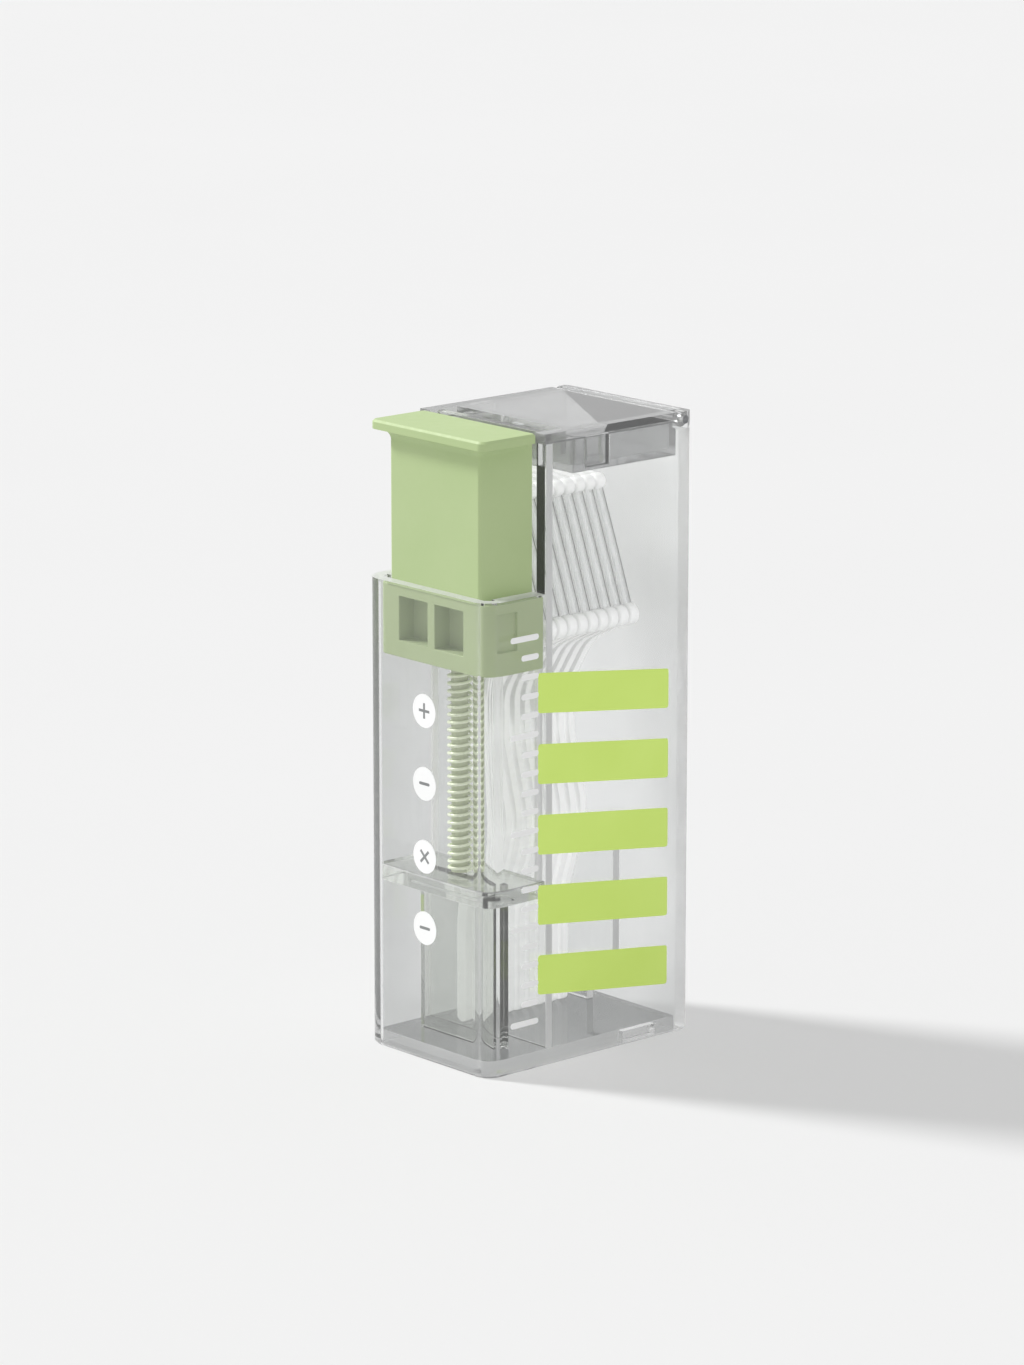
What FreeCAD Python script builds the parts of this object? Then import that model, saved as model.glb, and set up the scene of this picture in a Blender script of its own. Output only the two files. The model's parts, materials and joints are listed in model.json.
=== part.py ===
# Floss pick dispenser: a clear upright case holds a row of floss picks behind a sprung push button.
# The button stands in a notch at the top front. Its carriage runs down inside the clear shell on a
# coil spring, and a pawl on the carriage lifts the front pick through the slot before the hinged lid.
# Frame: millimetres, +Z up, the origin at the middle of the base, the button's side at -Y.
import FreeCAD, Part
import math
import os
import Sketcher

os.makedirs("parts", exist_ok=True)
doc = FreeCAD.newDocument("floss_pick_dispenser")
sheet = doc.addObject("Spreadsheet::Sheet", "sizes")

# Driving sizes in millimetres, apart from the counts.
SIZES = (
    ("case_width", 26.1, "outer width, along X"),
    ("case_depth", 38.2, "outer depth, along Y"),
    ("case_height", 90.0, "base to the top of the lid"),
    ("case_wall", 1.7, "thickness of the clear shell"),
    ("cut_overrun", 1.7, "how far a cut runs past what it cuts"),
    ("front_radius", 3.0, "outer radius of the two front corners"),
    ("rear_radius", 0.8, "outer radius of the two rear corners"),
    ("notch_height", 22.3, "top of the lid down to the rim below the notch"),
    ("notch_depth", 10.6, "front face to the ends of the side walls above the rim"),
    ("lip_height", 0.6, "stop lip under the rim"),
    ("lip_reach", 0.7, "stop lip inward of the side walls"),
    ("foot_bevel", 0.4, "bevel round the foot of the shell"),
    ("base_thickness", 2.1, "base cover, inside the foot of the shell"),
    ("snap_length", 5.9, "catch of the base cover, along Y"),
    ("snap_height", 1.5, "catch of the base cover, along Z"),
    ("snap_rise", 0.5, "foot of the shell to the catch"),
    ("snap_reach", 1.0, "catch of the base cover, out of the plug"),
    ("snap_setback", 9.6, "rear face to the middle of the catch"),
    ("lid_thickness", 1.4, "plate of the lid"),
    ("fit_gap", 0.1, "between pieces that are fixed together"),
    ("run_gap", 0.3, "between pieces that slide past each other"),
    ("partition_thickness", 1.2, "wall between the button and the picks"),
    ("partition_gap", 1.2, "ends of the side walls to the partition"),
    ("rail_width", 0.6, "guide rail of the carriage"),
    ("rail_height", 0.9, "guide rail out of the partition"),
    ("rail_setback", 1.25, "side wall to the middle of a rail"),
    ("shelf_thickness", 2.4, "plate of the spring's shelf"),
    ("web_thickness", 1.6, "upright wall under the shelf"),
    ("web_inset", 3.6, "side of the shelf to the side of its wall"),
    ("travel", 15.0, "stroke of the button"),
    ("cap_thickness", 1.3, "edge of the button's cap"),
    ("cap_bevel", 0.3, "bevel round the top of the cap"),
    ("cap_radius", 1.2, "front corners of the cap"),
    ("cap_side_inset", 1.15, "side of the case to the side of the cap"),
    ("cap_setback", 0.25, "front of the case to the front of the cap"),
    ("cap_gap", 0.3, "cap to the ends of the side walls"),
    ("column_inset", 3.6, "side of the case to the side of the column"),
    ("column_setback", 1.9, "front of the case to the front of the column"),
    ("column_radius", 0.5, "upright edges of the column"),
    ("column_wall", 1.2, "wall of the hollow column"),
    ("column_roof", 3.0, "solid top of the button above its hollow"),
    ("cove_radius", 1.5, "hollow curve under the cap"),
    ("column_gap", 0.35, "column to the partition"),
    ("carriage_height", 10.1, "carriage below the rim"),
    ("carriage_radius", 1.5, "front corners of the carriage"),
    ("carriage_setback", 0.3, "inside of the front wall to the carriage"),
    ("window_width", 6.0, "recess in the carriage's front, along X"),
    ("window_height", 6.3, "recess in the carriage's front, along Z"),
    ("window_rib", 1.5, "rib between the two recesses"),
    ("window_rise", 2.4, "carriage's foot to the recesses"),
    ("window_depth", 2.8, "depth of the recesses"),
    ("spigot_height", 7.5, "carriage's peg inside the column"),
    ("tab_width", 3.2, "side recess of the carriage, along Y"),
    ("tab_height", 5.4, "side recess of the carriage, along Z"),
    ("tab_depth", 0.5, "side recess of the carriage, along X"),
    ("tab_setback", 3.1, "front of the carriage to the middle of its side recess"),
    ("tab_rise", 3.3, "carriage's foot to its side recess"),
    ("spring_diameter", 3.6, "outside of the coil"),
    ("wire_diameter", 0.45, "spring wire"),
    ("spring_turns", 28.0, "count of coils"),
    ("spring_setback", 7.3, "front face to the spring's axis"),
    ("spring_packed", 15.4, "room for the spring at the end of the stroke"),
    ("post_diameter", 2.4, "pin inside the spring"),
    ("post_entry", 1.0, "pin inside the carriage at rest"),
    ("post_foot_diameter", 2.5, "foot of the pin"),
    ("post_foot_height", 0.8, "foot of the pin"),
    ("post_room", 0.4, "round the pin in the carriage"),
    ("bore_roof", 1.0, "top of the peg above the hole for the pin"),
    ("pawl_width", 1.1, "lifting pawl, along X"),
    ("pawl_height", 2.4, "lifting pawl, along Z"),
    ("pawl_rise", 1.6, "carriage's foot to the pawl"),
    ("pawl_root", 1.4, "pawl inside the carriage"),
    ("slot_margin", 0.45, "round the pawl in the partition"),
    ("hinge_radius", 1.2, "barrel of the lid"),
    ("hinge_pin_radius", 0.6, "pins of the lid"),
    ("hinge_clearance", 0.05, "radial, between a pin and the barrel"),
    ("pin_seat_gap", 0.02, "radial, between a pin and its ear"),
    ("hinge_pin_length", 4.6, "pin, along X"),
    ("exit_depth", 2.6, "slot that the front pick comes out of, along Y"),
    ("arm_width", 2.15, "lid beside the exit slot, on each side"),
    ("slot_lip_height", 2.4, "lip under the lid along the exit slot"),
    ("slot_lip_thickness", 1.0, "lip under the lid along the exit slot"),
    ("slot_lip_inset", 1.0, "side of the exit slot to the end of its lip"),
    ("latch_width", 2.9, "latch of the lid, along Y"),
    ("latch_length", 4.0, "latch below the lid's plate"),
    ("latch_thickness", 1.0, "latch of the lid, along X"),
    ("latch_nose", 0.5, "latch into the groove of the side wall"),
    ("latch_nose_height", 1.1, "nose of the latch"),
    ("latch_setback", 5.25, "front of the lid's plate to the middle of the latch"),
    ("latch_room", 0.7, "groove round the latch"),
    ("groove_depth", 0.9, "groove in the side wall"),
    ("liner_height", 5.0, "tray under the lid"),
    ("liner_wall", 0.9, "wall of the tray"),
    ("liner_rear_gap", 0.2, "rear wall to the tray"),
    ("pick_side_gap", 1.45, "side wall to a floss pick"),
    ("pick_head_gap", 2.0, "floss pick to the tray above it"),
    ("pick_space", 0.1, "between two floss picks"),
    ("pick_bar", 2.0, "width of the frame's bar"),
    ("pick_relief", 0.4, "face of a tip to the face of the thinner bar"),
    ("pick_count", 9.0, "picks in the case"),
    ("pick_gap", 0.4, "partition to the front pick"),
    ("rear_room", 5.8, "last pick to the rear wall"),
    ("knob_radius", 1.5, "lower tip that holds the floss"),
    ("small_knob_radius", 1.15, "upper tip that holds the floss"),
    ("floss_inset", 0.05, "face of the pick to the edge of its floss tape"),
    ("floss_thickness", 0.2, "floss tape, across its run"),
    ("floss_gap", 0.02, "floss to the round tips"),
    ("follower_thickness", 1.2, "plate behind the picks"),
    ("follower_width", 13.0, "plate behind the picks, along X"),
    ("follower_side_gap", 0.9125, "side wall to the plate"),
    ("follower_headroom", 55.4, "plate to the tray above it"),
    ("follower_rise", 5.1, "floor to the plate"),
    ("follower_radius", 3.0, "corners of the plate"),
    ("follower_gap", 1.8, "last pick to the plate"),
    ("follower_foot", 5.4, "foot of the plate, along X"),
)
for row, (name, number, note) in enumerate(SIZES, start=1):
    sheet.set("A%d" % row, name)
    sheet.set("B%d" % row, str(number))
    sheet.set("C%d" % row, note)
    sheet.setAlias("B%d" % row, name)
doc.recompute()


class Lengths:
    """Expressions of the sheet's sizes, by name: L.case_width reads as sizes.case_width."""

    def __getattr__(self, name):
        return "sizes." + name


L = Lengths()


def size(expression):
    """The number of millimetres that an expression of the sheet's sizes gives."""
    found = sheet.evalExpression(expression)
    return float(getattr(found, "Value", found))


# Places that several pieces share, as expressions of the driving sizes.
half_width = f"({L.case_width} / 2)"
front = f"(-{L.case_depth} / 2)"
rear = f"({L.case_depth} / 2)"
inner_half = f"({half_width} - {L.case_wall})"
inner_front = f"({front} + {L.case_wall})"
inner_rear = f"({rear} - {L.case_wall})"
inner_radius = f"({L.front_radius} - {L.case_wall})"
wall_top = f"({L.case_height} - {L.lid_thickness})"
notch_plane = f"({front} + {L.notch_depth})"
overrun = L.cut_overrun
rim = f"({L.case_height} - {L.notch_height})"
floor = L.base_thickness
partition_front = f"({notch_plane} + {L.partition_gap})"
partition_rear = f"({partition_front} + {L.partition_thickness})"
lid_front = f"({partition_rear} + {L.exit_depth})"
arm_inner = f"({half_width} - {L.arm_width})"
hinge_y = f"({rear} - {L.hinge_radius})"
hinge_z = f"({L.case_height} - {L.hinge_radius})"
ear_room = f"({inner_half} - {L.fit_gap})"
carriage_top = f"({rim} - {L.lip_height} - {L.fit_gap})"
carriage_foot = f"({carriage_top} - {L.carriage_height})"
carriage_front = f"({inner_front} + {L.carriage_setback})"
shelf_top = f"({carriage_foot} - {L.travel} - {L.spring_packed})"
carriage_half = f"({inner_half} - {L.run_gap})"
column_rear = f"({partition_front} - {L.column_gap})"
column_front = f"({front} + {L.column_setback})"
column_half = f"({half_width} - {L.column_inset})"
rail_x = f"({inner_half} - {L.rail_setback})"
cap_foot = f"({L.case_height} - {L.cap_thickness})"
pawl_foot = f"({carriage_foot} + {L.pawl_rise})"
liner_foot = f"({wall_top} - {L.liner_height})"

# The picks fill the room between the partition, the side walls, the floor and the tray. Their
# handles stand beside the middle plane, at a share of their width, and the pawl is in line with them.
handle_share = 0.2803
pick_width = f"(2 * ({inner_half} - {L.pick_side_gap}))"
pick_foot = f"({floor} + {L.fit_gap})"
pick_length = f"({liner_foot} - {L.pick_head_gap} - {pick_foot})"
first_pick_front = f"({partition_rear} + {L.pick_gap})"
last_pick_rear = f"({inner_rear} - {L.rear_room})"
pick_pitch = f"(({last_pick_rear} + {L.pick_space} - {first_pick_front}) / {L.pick_count})"
pick_thickness = f"({pick_pitch} - {L.pick_space})"
first_pick_y = f"({first_pick_front} + {pick_thickness} / 2)"
pawl_x = f"(-{handle_share} * {pick_width})"
spring_y = f"({front} + {L.spring_setback})"


def new_body(label):
    body = doc.addObject("PartDesign::Body", label)
    body.Label = label
    return body


def plane_of(body, role):
    return [item for item in body.Origin.OriginFeatures if item.Role == role][0]


def new_sketch(body, name, role, offset):
    """A sketch on a plane of the body's own origin, moved along the plane's normal."""
    sketch = body.newObject("Sketcher::SketchObject", name)
    sketch.AttachmentSupport = [(plane_of(body, role), "")]
    sketch.MapMode = "FlatFace"
    sketch.setExpression(".AttachmentOffset.Base.z", offset)
    return sketch


def bind(sketch, constraint, expression):
    """Add a sized constraint that follows an expression."""
    index = sketch.addConstraint(constraint)
    sketch.setExpression("Constraints[%d]" % index, expression)


def pin(sketch, geometry, point, across, up):
    """Hold one point of a sketch at the place that two expressions give."""
    for kind, expression in (("DistanceX", across), ("DistanceY", up)):
        bind(sketch, Sketcher.Constraint(kind, -1, 1, geometry, point, size(expression)), expression)


def rectangle(sketch, across, up):
    """A rectangle with two opposite corners pinned."""
    x0, x1 = size(across[0]), size(across[1])
    y0, y1 = size(up[0]), size(up[1])
    corners = [(x0, y0), (x1, y0), (x1, y1), (x0, y1)]
    for start, end in zip(corners, corners[1:] + corners[:1]):
        first = FreeCAD.Vector(start[0], start[1], 0)
        second = FreeCAD.Vector(end[0], end[1], 0)
        sketch.addGeometry(Part.LineSegment(first, second), False)
    for side in range(4):
        sketch.addConstraint(Sketcher.Constraint("Coincident", side, 2, (side + 1) % 4, 1))
        sketch.addConstraint(Sketcher.Constraint("Vertical" if side % 2 else "Horizontal", side))
    pin(sketch, 0, 1, across[0], up[0])
    pin(sketch, 2, 1, across[1], up[1])


def round_fronted(sketch, half, y, radius):
    """A rectangle across the middle plane whose two front corners are round."""
    side, low, high, bend = size(half), size(y[0]), size(y[1]), size(radius)
    up = FreeCAD.Vector(0, 0, 1)

    def line(start, end):
        sketch.addGeometry(Part.LineSegment(FreeCAD.Vector(*start, 0), FreeCAD.Vector(*end, 0)), False)

    def arc(across, start_angle):
        circle = Part.Circle(FreeCAD.Vector(across, low + bend, 0), up, bend)
        sketch.addGeometry(Part.ArcOfCircle(circle, start_angle, start_angle + math.pi / 2), False)

    line((side, high), (-side, high))
    line((-side, high), (-side, low + bend))
    arc(bend - side, math.pi)
    line((bend - side, low), (side - bend, low))
    arc(side - bend, 1.5 * math.pi)
    line((side, low + bend), (side, high))
    for geometry, kind in ((0, "Horizontal"), (1, "Vertical"), (3, "Horizontal"), (5, "Vertical")):
        sketch.addConstraint(Sketcher.Constraint(kind, geometry))
    sketch.addConstraint(Sketcher.Constraint("Coincident", 0, 2, 1, 1))
    sketch.addConstraint(Sketcher.Constraint("Coincident", 5, 2, 0, 1))
    for geometry in (1, 2, 3, 4):
        sketch.addConstraint(Sketcher.Constraint("Tangent", geometry, 2, geometry + 1, 1))
    sketch.addConstraint(Sketcher.Constraint("Equal", 2, 4))
    bind(sketch, Sketcher.Constraint("Radius", 2, bend), radius)
    pin(sketch, 0, 1, half, y[1])
    bind(sketch, Sketcher.Constraint("DistanceX", -1, 1, 0, 2, -side), f"-{half}")
    bind(sketch, Sketcher.Constraint("DistanceY", -1, 1, 3, 1, low), y[0])


def extrude(body, kind, name, draw, z):
    """Add or cut what a drawing on a level plane covers between two heights."""
    cuts = kind == "PartDesign::Pocket"
    before = body.Shape.Volume if cuts else 0
    sketch = new_sketch(body, name + "_sketch", "XY_Plane", z[1] if cuts else z[0])
    draw(sketch)
    feature = body.newObject(kind, name)
    feature.Profile = sketch
    feature.setExpression("Length", f"({z[1]}) - ({z[0]})")
    doc.recompute()
    if cuts and body.Shape.Volume >= before:
        raise RuntimeError(name + " cuts nothing")
    return feature


def add_box(body, name, x, y, z):
    """Add the block between two expressions along each axis."""
    return extrude(body, "PartDesign::Pad", name, lambda sketch: rectangle(sketch, x, y), z)


def cut_box(body, name, x, y, z):
    """Cut the block between two expressions along each axis."""
    return extrude(body, "PartDesign::Pocket", name, lambda sketch: rectangle(sketch, x, y), z)


def add_plan(body, name, half, y, z, radius):
    """Add a block with two round front corners."""
    return extrude(body, "PartDesign::Pad", name, lambda sketch: round_fronted(sketch, half, y, radius), z)


def cut_plan(body, name, half, y, z, radius):
    """Cut a block with two round front corners."""
    kind = "PartDesign::Pocket"
    return extrude(body, kind, name, lambda sketch: round_fronted(sketch, half, y, radius), z)


def round_feature(body, kind, name, axis, centre, radius, span):
    """A cylinder along X or Z, added or cut, from the first end of the span to the second."""
    role = {"X": "YZ_Plane", "Z": "XY_Plane"}[axis]
    sketch = new_sketch(body, name + "_sketch", role, span[0])
    middle = FreeCAD.Vector(size(centre[0]), size(centre[1]), 0)
    sketch.addGeometry(Part.Circle(middle, FreeCAD.Vector(0, 0, 1), size(radius)), False)
    pin(sketch, 0, 3, centre[0], centre[1])
    bind(sketch, Sketcher.Constraint("Radius", 0, size(radius)), radius)
    feature = body.newObject(kind, name)
    feature.Profile = sketch
    if kind == "PartDesign::Pocket":
        feature.Reversed = True
    feature.setExpression("Length", f"({span[1]}) - ({span[0]})")
    doc.recompute()
    return feature


def add_round(body, name, axis, centre, radius, span):
    return round_feature(body, "PartDesign::Pad", name, axis, centre, radius, span)


def cut_round(body, name, axis, centre, radius, span):
    before = body.Shape.Volume
    feature = round_feature(body, "PartDesign::Pocket", name, axis, centre, radius, span)
    if body.Shape.Volume >= before:
        raise RuntimeError(name + " cuts nothing")
    return feature


def near(number, expression):
    return math.isclose(number, size(expression), abs_tol=1e-4)


def dress_edges(body, kind, name, amount, chosen):
    """Round or bevel the edges of the body so far that a test picks out."""
    base = body.Tip
    names = ["Edge%d" % count for count, edge in enumerate(base.Shape.Edges, start=1) if chosen(edge)]
    if not names:
        raise RuntimeError(name + " found no edge")
    feature = body.newObject(kind, name)
    feature.Base = (base, names)
    feature.setExpression("Radius" if kind.endswith("Fillet") else "Size", amount)
    doc.recompute()
    return feature


def upright_at(x, y):
    """A test for the upright edges that stand at plus or minus x and at y."""

    def chosen(edge):
        middle = edge.BoundBox.Center
        upright = edge.BoundBox.XLength + edge.BoundBox.YLength < edge.BoundBox.ZLength
        return upright and near(abs(middle.x), x) and near(middle.y, y)

    return chosen


def add_outline(body, name, half, y, z, radius):
    """A block that is round in front, with small radii at the rear."""
    add_plan(body, name, half, y, z, radius)
    dress_edges(body, "PartDesign::Fillet", name + "_rear", L.rear_radius, upright_at(half, y[1]))


def level_at(z):
    """A test for the level edges at height z."""

    def chosen(edge):
        return near(edge.BoundBox.ZLength, "0") and near(edge.BoundBox.Center.z, z)

    return chosen


# The clear shell: four walls, a notch at the top front, ears for the lid's pins and catch windows.
case = new_body("case_body")
add_outline(case, "shell", half_width, (front, rear), ("0", L.case_height), L.front_radius)
dress_edges(case, "PartDesign::Chamfer", "foot_bevel", L.foot_bevel, level_at("0"))
cut_box(case, "crown", (f"-{half_width} - {overrun}", f"{half_width} + {overrun}"),
        (f"{front} - {overrun}", hinge_y), (wall_top, f"{L.case_height} + {overrun}"))
cut_plan(case, "cavity", inner_half, (inner_front, inner_rear), ("0", L.case_height), inner_radius)
add_box(case, "lip", (f"-{inner_half} - {L.case_wall} / 2", f"{inner_half} + {L.case_wall} / 2"),
        (f"{inner_front} + {inner_radius}", f"{notch_plane}"),
        (f"{rim} - {L.lip_height}", rim))
lip_half = f"({inner_half} - {L.lip_reach})"
cut_box(case, "lip_opening", (f"-{lip_half}", lip_half), (inner_front, f"{notch_plane} + {overrun}"),
        (f"{rim} - {L.lip_height}", rim))
cut_box(case, "notch", (f"-{half_width} - {overrun}", f"{half_width} + {overrun}"),
        (f"{front} - {overrun}", notch_plane), (rim, f"{wall_top} + {overrun}"))
cut_box(case, "hinge_relief", (f"-{inner_half}", inner_half),
        (f"{inner_rear} - {overrun}", f"{rear} + {overrun}"),
        (f"{hinge_z} - {L.hinge_radius} - {L.run_gap}", f"{L.case_height} + {overrun}"))
ear_spans = (("left", f"-{half_width}", f"-{inner_half}"), ("right", inner_half, half_width))
for side, outer_end, inner_end in ear_spans:
    span = (outer_end, inner_end)
    add_round(case, "ear_" + side, "X", (hinge_y, hinge_z), L.hinge_radius, span)
pin_seat = f"({L.hinge_pin_radius} + {L.pin_seat_gap})"
cut_round(case, "ear_bores", "X", (hinge_y, hinge_z), pin_seat,
          (f"-{half_width} - {overrun}", f"{half_width} + {overrun}"))
snap_middle = f"({rear} - {L.snap_setback})"
window_half = f"({L.snap_length} / 2 + {L.fit_gap})"
cut_box(case, "snap_windows", (f"-{half_width} - {overrun}", f"{half_width} + {overrun}"),
        (f"{snap_middle} - {window_half}", f"{snap_middle} + {window_half}"),
        (f"{L.snap_rise} - {L.fit_gap}", f"{L.snap_rise} + {L.snap_height} + {L.fit_gap}"))
latch_middle = f"({lid_front} + {L.latch_setback})"
groove_half = f"({inner_half} + {L.groove_depth})"
latch_foot = f"({wall_top} - {L.latch_length})"
cut_box(case, "latch_grooves", (f"-{groove_half}", groove_half),
        (f"{latch_middle} - {L.latch_width} / 2 - {L.latch_room}",
         f"{latch_middle} + {L.latch_width} / 2 + {L.latch_room}"),
        (f"{latch_foot} - {L.run_gap}", wall_top))

# The base cover: a plate inside the foot of the shell, with two catches in the shell's windows.
base = new_body("base_cover")
plug_half = f"({inner_half} - {L.fit_gap})"
plug_front = f"({inner_front} + {L.fit_gap})"
plug_radius = f"({inner_radius} - {L.fit_gap})"
add_plan(base, "plug", plug_half, (plug_front, f"{inner_rear} - {L.fit_gap}"), ("0", floor), plug_radius)
snap_half = f"({plug_half} + {L.snap_reach})"
add_box(base, "snaps", (f"-{snap_half}", snap_half),
        (f"{snap_middle} - {L.snap_length} / 2", f"{snap_middle} + {L.snap_length} / 2"),
        (L.snap_rise, f"{L.snap_rise} + {L.snap_height}"))

# The partition: it parts the button from the picks, guides the carriage and lets the pawl through.
partition = new_body("inner_partition")
partition_half = f"({inner_half} - {L.fit_gap})"
add_box(partition, "wall", (f"-{partition_half}", partition_half), (partition_front, partition_rear),
        (floor, wall_top))
neck_half = f"({arm_inner} - {L.fit_gap})"
add_box(partition, "neck", (f"-{neck_half}", neck_half), (partition_front, partition_rear),
        (wall_top, f"{L.case_height} - {L.fit_gap}"))
for side, sign in (("left", "-"), ("right", "")):
    low = f"{sign}{rail_x} - {L.rail_width} / 2"
    high = f"{sign}{rail_x} + {L.rail_width} / 2"
    add_box(partition, "rail_" + side, (low, high),
            (f"{partition_front} - {L.rail_height}", partition_front),
            (shelf_top, f"{carriage_top}"))
slot_half = f"({L.pawl_width} / 2 + {L.slot_margin})"
cut_box(partition, "pawl_slot", (f"{pawl_x} - {slot_half}", f"{pawl_x} + {slot_half}"),
        (f"{partition_front} - {overrun}", f"{partition_rear} + {overrun}"),
        (f"{pawl_foot} - {L.travel} - {L.slot_margin}", f"{pawl_foot} + {L.pawl_height} + {L.slot_margin}"))

# The shelf that the spring stands on, with the upright wall that holds it off the floor.
pedestal = new_body("spring_shelf")
shelf_foot = f"({shelf_top} - {L.shelf_thickness})"
shelf_rear = f"({partition_front} - {L.fit_gap})"
add_plan(pedestal, "plate", plug_half, (plug_front, shelf_rear), (shelf_foot, shelf_top), plug_radius)
web_half = f"({plug_half} - {L.web_inset})"
add_box(pedestal, "web", (f"-{web_half}", web_half),
        (f"{spring_y} - {L.web_thickness} / 2", f"{spring_y} + {L.web_thickness} / 2"), (floor, shelf_foot))

# The pin that keeps the spring upright. The carriage slides down over it.
post = new_body("guide_post")
post_foot_top = f"({shelf_top} + {L.post_foot_height})"
post_top = f"({carriage_foot} + {L.post_entry})"
add_round(post, "foot", "Z", ("0", spring_y), f"{L.post_foot_diameter} / 2",
          (shelf_top, post_foot_top))
add_round(post, "shaft", "Z", ("0", spring_y), f"{L.post_diameter} / 2",
          (post_foot_top, post_top))
dress_edges(post, "PartDesign::Chamfer", "tip", f"{L.post_diameter} / 6",
            level_at(post_top))

# The button: a bevelled cap on a hollow column, with a cove where they meet.
button = new_body("press_button")
cap_rear = f"({notch_plane} - {L.cap_gap})"
cap_half = f"({half_width} - {L.cap_side_inset})"
cap_front = f"({front} + {L.cap_setback})"
add_outline(button, "cap", cap_half, (cap_front, cap_rear), (cap_foot, L.case_height), L.cap_radius)
dress_edges(button, "PartDesign::Chamfer", "cap_bevel", L.cap_bevel, level_at(L.case_height))
add_box(button, "column", (f"-{column_half}", column_half), (column_front, column_rear),
        (carriage_top, cap_foot))
dress_edges(button, "PartDesign::Fillet", "column_front", L.column_radius,
            upright_at(column_half, column_front))


def cove_edge(edge):
    box = edge.BoundBox
    reach = size(f"{column_half} + {L.fit_gap}")
    within = box.XMax < reach and box.XMin > -reach
    ahead = box.YMin > size(f"{column_front} - {L.fit_gap}") and box.YMax < size(f"{cap_rear} + {L.fit_gap}")
    return level_at(cap_foot)(edge) and within and ahead and not near(box.YMin, cap_rear)


dress_edges(button, "PartDesign::Fillet", "cove", L.cove_radius, cove_edge)
hollow_half = f"({column_half} - {L.column_wall})"
hollow_front = f"({column_front} + {L.column_wall})"
hollow_rear = f"({column_rear} - {L.column_wall})"
cut_box(button, "hollow", (f"-{hollow_half}", hollow_half), (hollow_front, hollow_rear),
        (carriage_top, f"{L.case_height} - {L.column_roof}"))

# The carriage: it fills the shell, with two square recesses in front and a peg inside the column.
carriage = new_body("slider_carriage")
add_plan(carriage, "block", carriage_half, (carriage_front, column_rear), (carriage_foot, carriage_top),
         L.carriage_radius)
add_box(carriage, "spigot", (f"-{hollow_half} + {L.fit_gap}", f"{hollow_half} - {L.fit_gap}"),
        (f"{hollow_front} + {L.fit_gap}", f"{hollow_rear} - {L.fit_gap}"),
        (carriage_top, f"{carriage_top} + {L.spigot_height}"))
window_foot = f"({carriage_foot} + {L.window_rise})"
for side, low, high in (("left", f"-{L.window_rib} / 2 - {L.window_width}", f"-{L.window_rib} / 2"),
                        ("right", f"{L.window_rib} / 2", f"{L.window_rib} / 2 + {L.window_width}")):
    cut_box(carriage, "window_" + side, (low, high),
            (f"{carriage_front} - {overrun}", f"{carriage_front} + {L.window_depth}"),
            (window_foot, f"{window_foot} + {L.window_height}"))
tab_middle = f"({carriage_front} + {L.tab_setback})"
tab_foot = f"({carriage_foot} + {L.tab_rise})"
for side, low, high in (("left", f"-{carriage_half} - {overrun}", f"-{carriage_half} + {L.tab_depth}"),
                        ("right", f"{carriage_half} - {L.tab_depth}", f"{carriage_half} + {overrun}")):
    cut_box(carriage, "side_recess_" + side, (low, high),
            (f"{tab_middle} - {L.tab_width} / 2", f"{tab_middle} + {L.tab_width} / 2"),
            (tab_foot, f"{tab_foot} + {L.tab_height}"))
groove_room = f"({L.rail_width} / 2 + {L.run_gap})"
for side, sign in (("left", "-"), ("right", "")):
    cut_box(carriage, "rail_groove_" + side,
            (f"{sign}{rail_x} - {groove_room}", f"{sign}{rail_x} + {groove_room}"),
            (f"{partition_front} - {L.rail_height} - {L.run_gap}", f"{column_rear} + {overrun}"),
            (f"{carriage_foot} - {overrun}", f"{carriage_top} + {overrun}"))
cut_round(carriage, "post_bore", "Z", ("0", spring_y), f"{L.post_diameter} / 2 + {L.post_room}",
          (carriage_foot, f"{carriage_top} + {L.spigot_height} - {L.bore_roof}"))
pawl_half = f"({L.pawl_width} / 2)"
cut_box(carriage, "pawl_seat", (f"{pawl_x} - {pawl_half}", f"{pawl_x} + {pawl_half}"),
        (f"{column_rear} - {L.pawl_root}", f"{column_rear} + {overrun}"),
        (pawl_foot, f"{pawl_foot} + {L.pawl_height}"))

# The pawl: a finger from the carriage through the partition to the face of the front pick.
pawl = new_body("lift_pawl")
pawl_tip = f"({partition_rear} + {L.pick_gap} + {L.pick_relief} - {L.run_gap})"
add_box(pawl, "finger", (f"{pawl_x} - {pawl_half}", f"{pawl_x} + {pawl_half}"),
        (f"{column_rear} - {L.pawl_root}", pawl_tip), (pawl_foot, f"{pawl_foot} + {L.pawl_height}"))


def pawl_nose(edge):
    return level_at(pawl_foot)(edge) and near(edge.BoundBox.Center.y, pawl_tip)


dress_edges(pawl, "PartDesign::Chamfer", "nose", f"{L.pawl_width} / 2", pawl_nose)

# The lid: a plate between and over the side walls, its barrel, its latches and the exit slot's lip.
lid = new_body("top_lid")
wide_rear = f"({hinge_y} - {L.hinge_radius} - {L.run_gap} - {L.fit_gap})"
add_box(lid, "plate", (f"-{half_width}", half_width), (lid_front, wide_rear), (wall_top, L.case_height))
add_box(lid, "rear_plate", (f"-{ear_room}", ear_room), (wide_rear, rear), (wall_top, L.case_height))
for side, low, high in (("left", f"-{half_width}", f"-{arm_inner}"), ("right", arm_inner, half_width)):
    add_box(lid, "arm_" + side, (low, high), (notch_plane, lid_front), (wall_top, L.case_height))
add_round(lid, "barrel", "X", (hinge_y, hinge_z), L.hinge_radius, (f"-{ear_room}", ear_room))
lip_side = f"({arm_inner} - {L.slot_lip_inset})"
add_box(lid, "slot_lip", (f"-{lip_side}", lip_side), (lid_front, f"{lid_front} + {L.slot_lip_thickness}"),
        (f"{wall_top} - {L.slot_lip_height}", wall_top))
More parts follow.
